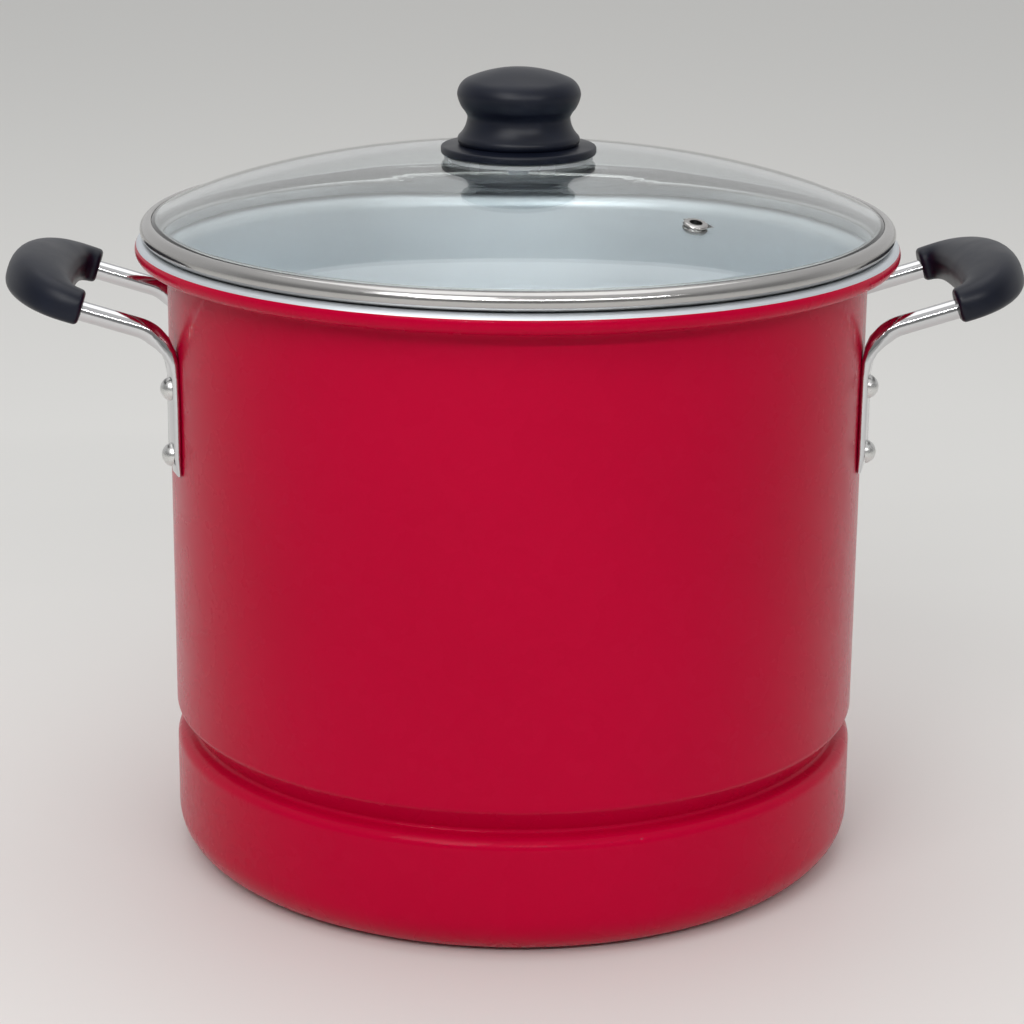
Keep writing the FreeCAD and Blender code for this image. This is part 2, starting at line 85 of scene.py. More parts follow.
# handles, mirrored in the planes through the pot's axis
leg_half = 39.4 * mm                    # half the distance between a handle's two legs
leg_point = (160.0 * mm, 229.7 * mm)    # on the legs' centre line: distance out, height
leg_rise = math.radians(16.8)
rod_radius = 4.0 * mm
wall_gap = 0.05 * mm                    # between the rod's plates and the wall
rod_axis_radius = wall_radius + wall_gap + rod_radius
rod_wall_x = math.sqrt(rod_axis_radius ** 2 - leg_half ** 2)
wall_bend = 15.0 * mm                   # centre line radius where a leg turns down the wall
grip_bend = 16.0 * mm                   # centre line radius inside the grip
rod_reach = 34.0 * mm                   # from leg_point to the rod's far run, along the leg
plate_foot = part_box("right_handle_rod")[0].z
plate_half = 1.5 * mm                   # half the thickness of a rod's flattened end
upper_rivet = 202.0 * mm

# grips, in the handle's own frame
grip_start = 14.2 * mm                  # from leg_point to the collars' faces, along the leg
palm_reach = 34.0 * mm                  # from the collars to the grip's outermost line
palm_recess = 6.7 * mm                  # from the collars to the palm's inner face
outer_half = 47.8 * mm
inner_half = 33.0 * mm
collar_under = 5.2 * mm
palm_under = 6.7 * mm
collar_over = 8.4 * mm
palm_over = 11.8 * mm
collar_rounding = 1.8 * mm


# ---- helpers for materials ----------------------------------------------------------

def new_material(name):
    """A material with one Principled shader; returns the material and the shader."""
    material = bpy.data.materials.new(name)
    material.use_nodes = True
    return material, material.node_tree.nodes["Principled BSDF"]


def link(material, source, target):
    material.node_tree.links.new(source, target)


def object_place(material, scale=(1, 1, 1)):
    """Object coordinates, stretched by a scale."""
    nodes = material.node_tree.nodes
    place = nodes.new("ShaderNodeTexCoord")
    mapping = nodes.new("ShaderNodeMapping")
    mapping.inputs["Scale"].default_value = scale
    link(material, place.outputs["Object"], mapping.inputs["Vector"])
    return mapping.outputs["Vector"]


def noise(material, vector, scale, detail=3.0, roughness=0.5):
    texture = material.node_tree.nodes.new("ShaderNodeTexNoise")
    texture.inputs["Scale"].default_value = scale
    texture.inputs["Detail"].default_value = detail
    texture.inputs["Roughness"].default_value = roughness
    link(material, vector, texture.inputs["Vector"])
    return texture.outputs["Fac"]


def set_stops(node, stops):
    """Give a colour ramp its (position, colour) stops."""
    elements = node.color_ramp.elements
    while len(elements) < len(stops):
        elements.new(0.5)
    for element, (position, colour) in zip(elements, stops):
        element.position = position
        element.color = (*colour, 1.0)


def ramp(material, value, stops):
    """A colour ramp of (position, colour) stops."""
    node = material.node_tree.nodes.new("ShaderNodeValToRGB")
    set_stops(node, stops)
    link(material, value, node.inputs["Fac"])
    return node.outputs["Color"]


def span(material, value, low, high, to_low, to_high):
    """Map a value from one span to another, held at its ends."""
    node = material.node_tree.nodes.new("ShaderNodeMapRange")
    node.inputs["From Min"].default_value = low
    node.inputs["From Max"].default_value = high
    node.inputs["To Min"].default_value = to_low
    node.inputs["To Max"].default_value = to_high
    link(material, value, node.inputs["Value"])
    return node.outputs["Result"]


def bump(material, shader, height, strength, distance):
    node = material.node_tree.nodes.new("ShaderNodeBump")
    node.inputs["Strength"].default_value = strength
    node.inputs["Distance"].default_value = distance
    link(material, height, node.inputs["Height"])
    link(material, node.outputs["Normal"], shader.inputs["Normal"])


def turning_marks(material, fineness, detail):
    """Fine rings about the pot's axis, from the distance to it and the height."""
    nodes = material.node_tree.nodes
    place = nodes.new("ShaderNodeTexCoord")
    parts = nodes.new("ShaderNodeSeparateXYZ")
    link(material, place.outputs["Object"], parts.inputs["Vector"])
    flat = nodes.new("ShaderNodeCombineXYZ")
    link(material, parts.outputs["X"], flat.inputs["X"])
    link(material, parts.outputs["Y"], flat.inputs["Y"])
    length = nodes.new("ShaderNodeVectorMath")
    length.operation = "LENGTH"
    link(material, flat.outputs["Vector"], length.inputs[0])
    ring = nodes.new("ShaderNodeCombineXYZ")
    link(material, length.outputs["Value"], ring.inputs["X"])
    link(material, parts.outputs["Z"], ring.inputs["Z"])
    return noise(material, ring.outputs["Vector"], fineness, detail, 0.65)


# ---- materials ----------------------------------------------------------------------

enamel_deep = (0.44, 0.0003, 0.026)
enamel_light = (0.47, 0.0004, 0.029)
phenolic_deep = (0.0030, 0.0046, 0.0120)
phenolic_light = (0.0046, 0.0070, 0.0170)


def red_enamel():
    """Glossy fired enamel with a very fine speckle and slow changes of depth."""
    material, shader = new_material("red_enamel")
    place = object_place(material)
    depth = noise(material, place, 9.0, 4.0)
    speckle = noise(material, place, 900.0, 2.0)
    both = material.node_tree.nodes.new("ShaderNodeMath")
    both.operation = "MULTIPLY_ADD"
    both.inputs[1].default_value = 0.35
    link(material, speckle, both.inputs[0])
    link(material, depth, both.inputs[2])
    colour = ramp(material, both.outputs[0], [(0.5, enamel_deep), (0.85, enamel_light)])
    link(material, colour, shader.inputs["Base Color"])
    grain = noise(material, place, 60.0, 3.0)
    link(material, span(material, grain, 0.3, 0.7, 0.24, 0.30), shader.inputs["Roughness"])
    shader.inputs["Specular IOR Level"].default_value = 0.10
    shader.inputs["Specular Tint"].default_value = (1.0, 0.08, 0.22, 1.0)
    shader.inputs["Coat Weight"].default_value = 0.12
    shader.inputs["Coat Roughness"].default_value = 0.012
    shader.inputs["Coat IOR"].default_value = 1.45
    return material


def spun_aluminium():
    """Bare aluminium with fine turning rings and a few dull patches."""
    material, shader = new_material("spun_aluminium")
    shader.inputs["Metallic"].default_value = 1.0
    place = object_place(material)
    cloud = noise(material, place, 14.0, 4.0)
    colour = ramp(material, cloud, [(0.3, (0.74, 0.78, 0.82)), (0.7, (0.82, 0.86, 0.90))])
    link(material, colour, shader.inputs["Base Color"])
    rings = turning_marks(material, 900.0, 4.0)
    link(material, span(material, rings, 0.3, 0.7, 0.42, 0.54), shader.inputs["Roughness"])
    bump(material, shader, rings, 0.10, 0.0002)
    return material


def rack_aluminium():
    material, shader = new_material("rack_aluminium")
    shader.inputs["Metallic"].default_value = 1.0
    place = object_place(material, (1, 14, 1))
    grain = noise(material, place, 260.0, 4.0)
    colour = ramp(material, grain, [(0.3, (0.66, 0.67, 0.68)), (0.7, (0.77, 0.78, 0.79))])
    link(material, colour, shader.inputs["Base Color"])
    link(material, span(material, grain, 0.3, 0.7, 0.30, 0.46), shader.inputs["Roughness"])
    bump(material, shader, grain, 0.15, 0.0002)
    return material


def polished_steel(name, colour, low, high, scale):
    """Bright metal with hairline scratches that only show in its gloss."""
    material, shader = new_material(name)
    shader.inputs["Metallic"].default_value = 1.0
    place = object_place(material, scale)
    hairline = noise(material, place, 300.0, 4.0, 0.6)
    smear = noise(material, object_place(material), 35.0, 3.0)
    tint = ramp(material, smear, [(0.3, [0.94 * c for c in colour]), (0.7, colour)])
    link(material, tint, shader.inputs["Base Color"])
    link(material, span(material, hairline, 0.3, 0.75, low, high), shader.inputs["Roughness"])
    bump(material, shader, hairline, 0.02, 0.00004)
    return material


def black_phenolic():
    """Moulded black plastic, satin, with a fine skin and wear from palms in its gloss."""
    material, shader = new_material("black_phenolic")
    place = object_place(material)
    cloud = noise(material, place, 55.0, 4.0)
    colour = ramp(material, cloud, [(0.3, phenolic_deep), (0.7, phenolic_light)])
    link(material, colour, shader.inputs["Base Color"])
    link(material, span(material, cloud, 0.3, 0.7, 0.34, 0.44), shader.inputs["Roughness"])
    shader.inputs["Specular IOR Level"].default_value = 0.30
    skin = noise(material, place, 1500.0, 2.0)
    bump(material, shader, skin, 0.08, 0.00015)
    return material


def lid_glass_material():
    """Clear tempered glass; lamps shine through it, so that the pot's inside is lit."""
    material, shader = new_material("clear_glass")
    nodes = material.node_tree.nodes
    shader.inputs["Base Color"].default_value = (0.93, 0.97, 0.97, 1.0)
    shader.inputs["Transmission Weight"].default_value = 1.0
    shader.inputs["Roughness"].default_value = 0.0
    shader.inputs["IOR"].default_value = 1.5
    clear = nodes.new("ShaderNodeBsdfTransparent")
    clear.inputs["Color"].default_value = (0.90, 0.94, 0.94, 1.0)
    path = nodes.new("ShaderNodeLightPath")
    mix = nodes.new("ShaderNodeMixShader")
    link(material, path.outputs["Is Shadow Ray"], mix.inputs["Fac"])
    link(material, shader.outputs["BSDF"], mix.inputs[1])
    link(material, clear.outputs["BSDF"], mix.inputs[2])
    link(material, mix.outputs["Shader"], nodes["Material Output"].inputs["Surface"])
    return material


def clear_silicone():
    """Faintly milky silicone that lets the glass under it show through."""
    material, shader = new_material("clear_silicone")
    place = object_place(material)
    cloud = noise(material, place, 90.0, 2.0)
    colour = ramp(material, cloud, [(0.3, (0.78, 0.82, 0.84)), (0.7, (0.86, 0.89, 0.91))])
    link(material, colour, shader.inputs["Base Color"])
    link(material, span(material, cloud, 0.3, 0.7, 0.20, 0.30), shader.inputs["Roughness"])
    shader.inputs["Transmission Weight"].default_value = 0.5
    shader.inputs["IOR"].default_value = 1.41
    return material


def turned_brass():
    material, shader = new_material("turned_brass")
    shader.inputs["Metallic"].default_value = 1.0
    rings = turning_marks(material, 2500.0, 3.0)
    colour = ramp(material, rings, [(0.3, (0.66, 0.45, 0.16)), (0.7, (0.76, 0.55, 0.24))])
    link(material, colour, shader.inputs["Base Color"])
    link(material, span(material, rings, 0.3, 0.7, 0.22, 0.36), shader.inputs["Roughness"])
    return material


# ---- helpers for shapes -------------------------------------------------------------

def arc_points(centre, radius, start, end, steps):
    """Points of an outline on an arc about a centre, from one angle to another, in degrees."""
    points = []
    for i in range(steps + 1):
        angle = math.radians(start + (end - start) * i / steps)
        points.append((centre[0] + radius * math.cos(angle), centre[1] + radius * math.sin(angle)))
    return points


def rounded_outline(corners):
    """An outline through (radius, height, fillet, steps) corners, its corners rounded."""
    points = []
    for i, (r, h, fillet, steps) in enumerate(corners):
        if not fillet:
            points.append((r, h))
            continue
        here = Vector((r, h))
        back = (Vector(corners[i - 1][:2]) - here).normalized()
        ahead = (Vector(corners[i + 1][:2]) - here).normalized()
        inner = back.angle(ahead)
        centre = here + (back + ahead).normalized() * fillet / math.sin(inner / 2)
        reach = fillet / math.tan(inner / 2)
        entry, leave = here + back * reach - centre, here + ahead * reach - centre
        start = math.degrees(math.atan2(entry.y, entry.x))
        turn = math.degrees(math.atan2(leave.y, leave.x)) - start
        turn = (turn + 180) % 360 - 180
        points += arc_points(centre, fillet, start, start + turn, steps)
    return points


def offset_corners(corners, distance):
    """Shift (radius, height, fillet, steps) corners to their left by a distance."""
    places = [Vector((r, h)) for r, h, fillet, steps in corners]
    runs = [(b - a).normalized() for a, b in zip(places, places[1:])]
    lefts = [Vector((-run.y, run.x)) for run in runs]
    shifted = []
    for i, (r, h, fillet, steps) in enumerate(corners):
        before, after = lefts[max(i - 1, 0)], lefts[min(i, len(lefts) - 1)]
        place = places[i] + (before + after) * distance / (1.0 + before.dot(after))
        turn = before.x * after.y - before.y * after.x
        grown = fillet - math.copysign(distance, turn) if fillet else 0.0
        shifted.append((place.x, place.y, grown, steps))
    return shifted


def turned_mesh(outline, steps):
    """Spin a closed outline of (radius, height) points once about Z; it may lie on the axis."""
    shape = bmesh.new()
    verts = [shape.verts.new((r, 0, h)) for r, h in outline]
    for a, b in zip(verts, verts[1:] + verts[:1]):
        if max(a.co.x, b.co.x) > on_axis:
            shape.edges.new((a, b))
    bmesh.ops.spin(shape, geom=shape.verts[:] + shape.edges[:], cent=(0, 0, 0), axis=(0, 0, 1),
                   angle=math.tau, steps=steps, use_merge=True)
    bmesh.ops.remove_doubles(shape, verts=shape.verts, dist=1e-7)
    bmesh.ops.dissolve_degenerate(shape, edges=shape.edges, dist=1e-8)
    bmesh.ops.recalc_face_normals(shape, faces=shape.faces)
    return shape


def shade(shape, sharp_degrees):
    """Smooth shading, broken at edges that turn by more than an angle."""
    limit = math.radians(sharp_degrees)
    for face in shape.faces:
        face.smooth = True
    for edge in shape.edges:
        edge.smooth = len(edge.link_faces) == 2 and edge.calc_face_angle(0.0) < limit


def finish_piece(name, shape, body, materials, replaced=(), sharp_degrees=38):
    """Turn a bmesh into a piece that rides on a body and stands for CAD nodes."""
    shade(shape, sharp_degrees)
    mesh = bpy.data.meshes.new(name)
    shape.to_mesh(mesh)
    shape.free()
    piece = bpy.data.objects.new(name, mesh)
    bpy.context.scene.collection.objects.link(piece)
    for material in materials:
        mesh.materials.append(material)
    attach(piece, body)
    if replaced:
        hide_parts(*replaced)
    return piece


def smooth_copy(node, body, material, sharp_degrees=32):
    """A merged, smoothly shaded copy of a CAD node, which it replaces."""
    shape = bmesh.new()
    shape.from_mesh(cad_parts[node].data)
    bmesh.ops.remove_doubles(shape, verts=shape.verts, dist=1e-6)
    return finish_piece(node + "_finished", shape, body, [material], [node], sharp_degrees)


# ---- pot ----------------------------------------------------------------------------

def bead_place(radius, degrees):
    angle = math.radians(degrees)
    return (bead_centre[0] + radius * math.cos(angle), bead_centre[1] + radius * math.sin(angle))


def pot_corners():
    """The outside of the pot from the middle of its underside to the foot of the bead."""
    tangent = bead_place(bead_radius - sheet, curl_start)
    flare = tangent[1] - (tangent[0] - wall_radius)
    return [
        (0, 0, 0, 0),
        (wall_radius, 0, base_corner, 14),
        (wall_radius, waist_shoulder, 5.2 * mm, 10),
        (waist_radius, waist_low, 1.3 * mm, 5),
        (wall_radius, waist_top, 3.5 * mm, 5),
        (wall_radius, flare, 5.0 * mm, 7),
        (*tangent, 0, 0),
    ]


def pot_body(enamel, aluminium):
    """Spun shell: enamel outside and under it, up to the bead's upper half; bare metal elsewhere."""
    outer = pot_corners()
    inner = offset_corners(outer, sheet)
    inner[0] = (0, sheet, 0, 0)
    outline = rounded_outline(outer)
    outline += arc_points(bead_centre, bead_radius - sheet, curl_start, curl_end, 20)[1:]
    outline += arc_points(bead_centre, bead_radius, curl_end, curl_start, 28)
    outline += rounded_outline(inner[::-1])[1:]
    shape = turned_mesh(outline, turn_steps)
    for face in shape.faces:
        middle = face.calc_center_median()
        radius = math.hypot(middle.x, middle.y)
        on_bead = radius > bead_centre[0] and middle.z < enamel_top
        facing_out = face.normal.x * middle.x + face.normal.y * middle.y > 0
        below_bead = facing_out and radius > waist_radius - 0.2 * mm and middle.z < enamel_top
        under = face.normal.z < -0.3 and middle.z < base_corner
        face.material_index = 0 if on_bead or below_bead or under else 1
    return finish_piece("pot_body", shape, "pot",
                        [enamel, aluminium], ["pot_shell"])


# ---- lid ----------------------------------------------------------------------------

def dome_centres():
    """Centre and radius of each tangent arc of the glass, and the slopes where they meet."""
    centres, slopes = [], [0.0]
    along, height, last = 0.0, glass_apex, 0.0
    for radius, reach in dome_bends:
        along += (last - radius) * math.sin(slopes[-1])
        height += (last - radius) * math.cos(slopes[-1])
        centres.append((along, height, radius))
        slopes.append(math.asin((reach - along) / radius))
        last = radius
    return centres, slopes


def dome_points(depth, steps):
    """Points of the glass at a depth under its outer face, from the axis outwards."""
    centres, slopes = dome_centres()
    points = [(0.0, glass_apex - depth)]
    for (along, height, radius), start, end in zip(centres, slopes, slopes[1:]):
        points += arc_points((along, height), radius - depth, 90 - math.degrees(start),
                             90 - math.degrees(end), steps)[1:]
    return points


def drill(piece, cutters):
    """Cut holes through a piece with other meshes, which are then thrown away."""
    for cutter in cutters:
        tool = bpy.data.objects.new("cutter", cutter)
        bpy.context.scene.collection.objects.link(tool)
        cut = piece.modifiers.new("hole", "BOOLEAN")
        cut.operation = "DIFFERENCE"
        cut.object = tool
        graph = bpy.context.evaluated_depsgraph_get()
        drilled = bpy.data.meshes.new_from_object(piece.evaluated_get(graph))
        piece.modifiers.clear()
        piece.data = drilled
        bpy.data.objects.remove(tool)


def cylinder_mesh(radius, depth, matrix):
    shape = bmesh.new()
    bmesh.ops.create_cone(shape, cap_ends=True, segments=48, radius1=radius, radius2=radius,
                          depth=depth, matrix=matrix)
    mesh = bpy.data.meshes.new("cutter")
    shape.to_mesh(mesh)
    shape.free()
    return mesh


def glass_dome(glass):
    """Domed disc with a rounded edge, drilled for the knob's screw and the vent."""
    top, low = dome_points(0, 12), dome_points(glass_thickness, 12)
    slope = dome_centres()[1][-1]
    edge = []
    for i in range(1, 8):
        share = i / 8
        chord = Vector(top[-1]).lerp(Vector(low[-1]), share)
        out = math.sqrt(1 - (2 * share - 1) ** 2) * edge_bulge
        edge.append((chord.x + out * math.cos(slope), chord.y - out * math.sin(slope)))
    shape = turned_mesh(top + edge + low[::-1], turn_steps)
    piece = finish_piece("glass_dome", shape, "lid", [glass], ["lid_glass"])
    eyelet_low, eyelet_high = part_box("vent_eyelet")
    vent = (Vector(eyelet_low) + Vector(eyelet_high)) / 2
    along, height, radius = dome_centres()[0][1]
    distance = math.hypot(vent.x, vent.y)
    tilt = Matrix.Rotation(math.asin((distance - along) / radius), 4, "Y")
    turn = Matrix.Rotation(math.atan2(vent.y, vent.x), 4, "Z")
    vent_place = Matrix.Translation(vent) @ turn @ tilt
    centre_place = Matrix.Translation((0, 0, glass_apex))
    drill(piece, [cylinder_mesh(centre_hole, 30 * mm, centre_place),
                  cylinder_mesh(vent_hole, 20 * mm, vent_place)])
    return piece


def band_ring(steel):
    half = band_sheet / 2
    low = band_centre[1] - band_radius + half
    outer = [
        (skirt_radius + half, skirt_foot, 0, 0),
        (skirt_radius + half, low - half, 0.6 * mm, 5),
        (band_centre[0], low - half, 0, 0),
    ]
    inner = offset_corners(outer, band_sheet)
    outline = rounded_outline(outer)
    outline += arc_points(band_centre, band_radius, -90, band_lip, 22)[1:]
    outline += arc_points(band_centre, band_radius - band_sheet, band_lip, -90, 18)
    outline += rounded_outline(inner)[::-1][1:]
    shape = turned_mesh(outline, turn_steps)
    return finish_piece("band_ring", shape, "lid", [steel], ["lid_band"])


def crown_points(rim, apex, steps):
    """An arc from the rim of a crown up to its apex on the axis."""
    radius, height = rim
    rise = apex - height
    sphere = (radius ** 2 + rise ** 2) / (2 * rise)
    start = math.degrees(math.atan2(height - (apex - sphere), radius))
    return arc_points((0, apex - sphere), sphere, start, 90, steps)


def through(a, b, c, steps):
    """Points on the circle through three points of an outline, from a to c."""
    ax, ay, bx, by, cx, cy = *a, *b, *c
    d = 2 * (ax * (by - cy) + bx * (cy - ay) + cx * (ay - by))
    a2, b2, c2 = ax * ax + ay * ay, bx * bx + by * by, cx * cx + cy * cy
    ox = (a2 * (by - cy) + b2 * (cy - ay) + c2 * (ay - by)) / d
    oy = (a2 * (cx - bx) + b2 * (ax - cx) + c2 * (bx - ax)) / d
    start, mid, end = (math.degrees(math.atan2(y - oy, x - ox)) for x, y in (a, b, c))
    mid, end = (mid - start) % 360, (end - start) % 360
    turn = end if mid < end else end - 360
    return arc_points((ox, oy), math.hypot(ax - ox, ay - oy), start, start + turn, steps)


def lid_knob(phenolic):
    """Turned knob: flange, rounded foot, neck and crowned cap, bored for its insert."""
    def up(radius, height):
        return (radius * mm, knob_base + height * mm)

    top = knob_base + knob_height
    outline = [(insert_hole, knob_base)]
    outline += through(up(30.4, 0), up(31.1, 0.3), up(31.4, 1.0), 4)
    outline += through(up(31.4, 2.4), up(31.1, 3.1), up(30.4, 3.4), 4)
    outline += through(up(23.7, 3.9), up(24.6, 5.2), up(23.7, 7.8), 10)
    outline += through(up(23.7, 7.8), up(20.9, 13.3), up(20.7, 15.0), 10)[1:]
    outline += through(up(20.7, 15.0), up(21.4, 16.5), up(22.9, 18.5), 5)[1:]
    outline += through(up(22.9, 18.5), up(24.3, 21.4), up(24.9, 23.9), 7)[1:]
    outline += through(up(24.9, 23.9), up(24.4, 26.3), up(20.7, 30.2), 10)[1:]
    outline += crown_points(up(20.7, 30.2), top, 14)[1:]
    outline += [(0, knob_base + insert_depth), (insert_hole, knob_base + insert_depth)]
    shape = turned_mesh(outline, small_turn_steps)
    return finish_piece("lid_knob", shape, "lid", [phenolic], ["knob"])


# ---- handles ------------------------------------------------------------------------

def loft(rings):
    """A closed skin bridged over rings of points, with a flat face at each end."""
    shape = bmesh.new()
    loops = []
    for ring in rings:
        verts = [shape.verts.new(point) for point in ring]
        loops.append([shape.edges.new(pair) for pair in zip(verts, verts[1:] + verts[:1])])
    for near, far in zip(loops, loops[1:]):
        bmesh.ops.bridge_loops(shape, edges=near + far)
    for end in (loops[0], loops[-1]):
        bmesh.ops.edgeloop_fill(shape, edges=end)
    bmesh.ops.recalc_face_normals(shape, faces=shape.faces)
    return shape


def handle_place(along, across, over):
    """A point in the right handle's frame: outwards along the leg, along Y, and over it."""
    return Vector((leg_point[0] + along * math.cos(leg_rise) - over * math.sin(leg_rise), across,
                   leg_point[1] + along * math.sin(leg_rise) + over * math.cos(leg_rise)))


def rounded_section(origin, outward, sideways, half_thickness, half_width, corner):
    """A ring round a rounded rectangle whose inner face keeps the rod's distance from the wall."""
    points = []
    for k in range(4):
        sign = [(1, 1), (-1, 1), (-1, -1), (1, -1)][k]
        for i in range(8):
            angle = math.radians(90 * (k + (i + 0.5) / 8))
            out = sign[0] * (half_thickness - corner) + corner * math.cos(angle)
            across = sign[1] * (half_width - corner) + corner * math.sin(angle)
            points.append(origin + outward * (out + half_thickness - rod_radius)
                          + sideways * across)
    return points


def rod_rings():
    """Rings along the right handle's rear half, from the plate's foot to the far run's middle."""
    azimuth = math.atan2(leg_half, rod_wall_x)
    bend_turn = math.pi / 2 - leg_rise
    bend_top = leg_point[1] + (rod_wall_x - leg_point[0]) * math.tan(leg_rise)
    bend_foot = bend_top - wall_bend * math.tan(bend_turn / 2)
    # height, turn in degrees, share of the twist, half thickness, half width, corner
    stations = [
        (plate_foot, 0, 1, plate_half - 0.7 * mm, 5.5 * mm, 0.6 * mm),
        (plate_foot + 8 * mm, 0, 1, plate_half, 6.3 * mm, 1.2 * mm),
        (upper_rivet - 7 * mm, 0, 1, plate_half, 6.3 * mm, 1.2 * mm),
        (upper_rivet + 4.9 * mm, 0, 1, plate_half, 5.6 * mm, 1.2 * mm),
        (bend_foot, 0, 1, 2.05 * mm, 5.3 * mm, 1.6 * mm),
        (bend_foot, 15.2, 0.65, 2.7 * mm, 5.0 * mm, 2.1 * mm),
        (bend_foot, 30.4, 0.3, 3.4 * mm, 4.5 * mm, 2.9 * mm),
    ]
    for i in range(7):
        turn = 46 + (math.degrees(bend_turn) - 46) * i / 6
        stations.append((bend_foot, turn, 0, rod_radius, rod_radius, rod_radius))
    rings = []
    for height, degrees, twist, *size in stations:
        turn = math.radians(degrees)
        origin = Vector((rod_wall_x + wall_bend * (1 - math.cos(turn)), leg_half,
                         height + wall_bend * math.sin(turn)))
        outward = Vector((math.cos(turn), 0, -math.sin(turn)))
        rear = Vector((0, 1, 0))
        around = twist * azimuth
        rings.append(rounded_section(origin, outward * math.cos(around) + rear * math.sin(around),
                                     rear * math.cos(around) - outward * math.sin(around), *size))
    along = Vector((math.cos(leg_rise), 0, math.sin(leg_rise)))
    down = Vector((math.sin(leg_rise), 0, -math.cos(leg_rise)))
    for i in range(13):
        turn = math.radians(90 * i / 12)
        sideways = Vector((0, 1, 0)) * math.cos(turn) + along * math.sin(turn)
        origin = handle_place(rod_reach - grip_bend, leg_half - grip_bend, 0) + sideways * grip_bend
        rings.append(rounded_section(origin, down, sideways, rod_radius, rod_radius, rod_radius))
    middle = handle_place(rod_reach, 0, 0)
    rings.append(rounded_section(middle, down, along, rod_radius, rod_radius, rod_radius))
    return rings


def handle_rod(side, chrome):
    """One bent rod, round in the open and flattened into a riveted plate at each end."""
    rear = rod_rings()
    front = [[Vector((point.x, -point.y, point.z)) for point in ring] for ring in rear[-2::-1]]
    shape = loft(rear + front)
    if side == "left":
        bmesh.ops.scale(shape, vec=(-1, 1, 1), verts=shape.verts)
        bmesh.ops.recalc_face_normals(shape, faces=shape.faces)
    return finish_piece(side + "_bent_rod", shape, "pot", [chrome],
                        [side + "_handle_rod"], 50)


def grip_sections():
    """Stations round a grip, from the front collar to the rear one, in the handle's own frame.

    They are (middle, unit run from the inside to the outside, half width, over, under).
    """
    sections = []
    stations = 48
    for i in range(stations + 1):
        turn = math.radians(-90 + 180 * i / stations)
        cos, sin = max(math.cos(turn), 0.0), math.sin(turn)
        outer = Vector((grip_start + palm_reach * cos ** 0.86,
                        outer_half * math.copysign(abs(sin) ** 0.92, sin)))
        inner = Vector((grip_start + palm_recess * cos ** 0.4,
                        inner_half * math.copysign(abs(sin) ** 1.1, sin)))
        run = outer - inner
        fullness = cos ** 1.3
        over = collar_over + (palm_over - collar_over) * fullness
        under = collar_under + (palm_under - collar_under) * fullness
        sections.append(((outer + inner) / 2, run.normalized(), run.length / 2, over, under))
    return sections


def grip_ring(section, shrink=0.0, ahead=0.0):
    """Points round one section, made smaller and set ahead along the leg for a collar's rounding."""
    middle, run, half, over, under = section
    points = []
    steps = 40
    for i in range(steps):
        around = math.tau * i / steps
        side, up = math.cos(around), math.sin(around)
        square = 0.80 if up > 0 else 0.60
        out = math.copysign(abs(side) ** square, side) * (half - shrink)
        height = math.copysign(abs(up) ** square, up) * ((over if up > 0 else under) - shrink)
        points.append(handle_place(middle.x + run.x * out + ahead, middle.y + run.y * out, height))
    return points


def collar_rings(section):
    """Rings that round a collar's edge, from its face to its full size."""
    steps = 4
    rings = []
    for k in range(steps + 1):
        angle = math.radians(90 * k / steps)
        rings.append(grip_ring(section, collar_rounding * (1 - math.sin(angle)),
                               collar_rounding * (1 - math.cos(angle))))
    return rings


def handle_grip(side, phenolic):
    """Moulded grip: a full palm between two rounded collars."""
    sections = grip_sections()
    shape = loft(collar_rings(sections[0]) + [grip_ring(section) for section in sections[1:-1]]
                 + collar_rings(sections[-1])[::-1])
    if side == "left":
        bmesh.ops.scale(shape, vec=(-1, 1, 1), verts=shape.verts)
        bmesh.ops.recalc_face_normals(shape, faces=shape.faces)
    return finish_piece(side + "_grip_moulding", shape, "pot", [phenolic],
                        [side + "_handle_grip"], 60)


# ---- camera, floor and light --------------------------------------------------------

def camera():
    """Camera in front of the pot, a little above its lid."""
    turn = math.radians(-2.2)
    yaw, pitch, roll = -0.0126, 0.2862, 0.0088
    place = Vector((-0.0162, -1.1776, 0.4853))
    right = Vector((math.cos(yaw), math.sin(yaw), 0))
    level = Vector((-math.sin(yaw), math.cos(yaw), 0))
    ahead = level * math.cos(pitch) + Vector((0, 0, -math.sin(pitch)))
    up = level * math.sin(pitch) + Vector((0, 0, math.cos(pitch)))
    side = right * math.cos(roll) + up * math.sin(roll)
    top = up * math.cos(roll) - right * math.sin(roll)
    basis = Matrix((side, top, -ahead)).transposed().to_4x4()
    data = bpy.data.cameras.new("camera")
    data.sensor_width = 36.0
    data.lens = 103.3
    data.clip_start, data.clip_end = 0.05, 50.0
    eye = bpy.data.objects.new("camera", data)
    bpy.context.scene.collection.objects.link(eye)
    eye.matrix_world = Matrix.Rotation(turn, 4, "Z") @ (Matrix.Translation(place) @ basis)
    bpy.context.scene.camera = eye


def floor():
    shape = bmesh.new()
    bmesh.ops.create_grid(shape, x_segments=1, y_segments=1, size=20.0)
    mesh = bpy.data.meshes.new("floor")
    shape.to_mesh(mesh)
    shape.free()
    ground = bpy.data.objects.new("floor", mesh)
    bpy.context.scene.collection.objects.link(ground)
    material, shader = new_material("pale_floor")
    shader.inputs["Base Color"].default_value = (0.74, 0.735, 0.715, 1.0)
    shader.inputs["Roughness"].default_value = 0.6
    mesh.materials.append(material)


def soft_light(name, place, aim, size, power):
    data = bpy.data.lights.new(name, "AREA")
    data.shape = "RECTANGLE"
    data.size, data.size_y = size
    data.energy = power
    lamp = bpy.data.objects.new(name, data)
    bpy.context.scene.collection.objects.link(lamp)
    lamp.location = place
    lamp.rotation_mode = "QUATERNION"
    lamp.rotation_quaternion = (Vector(aim) - Vector(place)).to_track_quat("-Z", "Y")


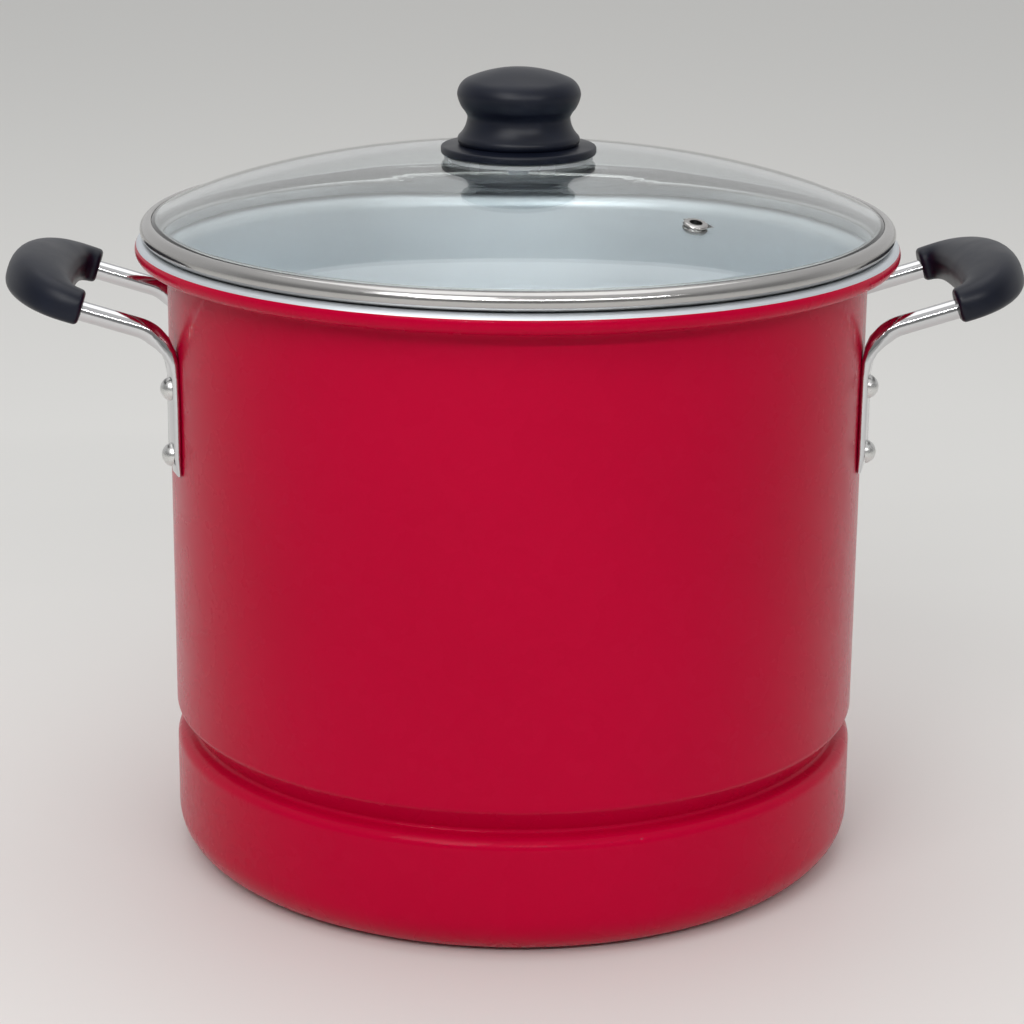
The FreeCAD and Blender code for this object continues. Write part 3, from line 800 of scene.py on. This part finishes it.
def world_level(nodes, links, value, stops):
    """A grey ramp of a value of the world, as (position, grey) stops."""
    levels = nodes.new("ShaderNodeValToRGB")
    set_stops(levels, [(position, (grey, grey, grey)) for position, grey in stops])
    links.new(value, levels.inputs["Fac"])
    return levels.outputs["Color"]


def lighting():
    """Soft lamps over the pot, in a room that is brightest overhead and behind it."""
    world = bpy.data.worlds.new("studio")
    bpy.context.scene.world = world
    world.use_nodes = True
    nodes, links = world.node_tree.nodes, world.node_tree.links
    background = nodes["Background"]
    place = nodes.new("ShaderNodeTexCoord")
    parts = nodes.new("ShaderNodeSeparateXYZ")
    links.new(place.outputs["Generated"], parts.inputs["Vector"])
    depth = nodes.new("ShaderNodeMath")
    depth.operation = "MULTIPLY_ADD"
    links.new(parts.outputs["Y"], depth.inputs[0])
    depth.inputs[1].default_value = 0.5
    depth.inputs[2].default_value = 0.5
    behind = world_level(nodes, links, depth.outputs[0],
                         [(0.0, 0.32), (0.45, 0.42), (0.75, 0.80), (1.0, 0.85)])
    above = world_level(nodes, links, parts.outputs["Z"], [(0.0, 0.0), (0.40, 0.50), (0.75, 0.92)])
    brighter = nodes.new("ShaderNodeMath")
    brighter.operation = "MAXIMUM"
    links.new(behind, brighter.inputs[0])
    links.new(above, brighter.inputs[1])
    links.new(brighter.outputs[0], background.inputs["Color"])
    background.inputs["Strength"].default_value = 0.74
    soft_light("key", (-0.9, -1.5, 1.8), (0, 0, 0.15), (1.1, 1.1), 13)
    soft_light("strip", (0.15, -1.7, 1.2), (0, 0, 0.1), (2.6, 0.035), 14)
    soft_light("top", (0, 0.4, 1.9), (0, 0, 0.1), (1.6, 1.6), 8)


# ---- build --------------------------------------------------------------------------

bpy.context.scene.view_settings.view_transform = "Standard"
camera()
floor()
lighting()

enamel = red_enamel()
aluminium = spun_aluminium()
band_steel = polished_steel("band_steel", (0.50, 0.49, 0.48), 0.12, 0.24, (1, 1, 6))
chrome = polished_steel("chromed_steel", (0.64, 0.64, 0.65), 0.06, 0.14, (1, 1, 1))
rivet_metal = polished_steel("rivet_metal", (0.70, 0.70, 0.69), 0.22, 0.36, (1, 1, 1))
phenolic = black_phenolic()
glass = lid_glass_material()
silicone = clear_silicone()
brass = turned_brass()
rack_metal = rack_aluminium()

pot_body(enamel, aluminium)
glass_dome(glass)
band_ring(band_steel)
lid_knob(phenolic)
for side in ("left", "right"):
    handle_rod(side, chrome)
    handle_grip(side, phenolic)
    for leg in ("front", "rear"):
        for level in ("upper", "lower"):
            smooth_copy("_".join((side, leg, level, "rivet")), "pot", rivet_metal)
smooth_copy("steamer_rack", "rack", rack_metal)
smooth_copy("vent_eyelet", "lid", band_steel)
smooth_copy("knob_insert", "lid", brass)
smooth_copy("knob_screw", "lid", chrome)
smooth_copy("knob_washer", "lid", chrome)
smooth_copy("knob_gasket_top", "lid", silicone)
smooth_copy("knob_gasket_bottom", "lid", silicone)
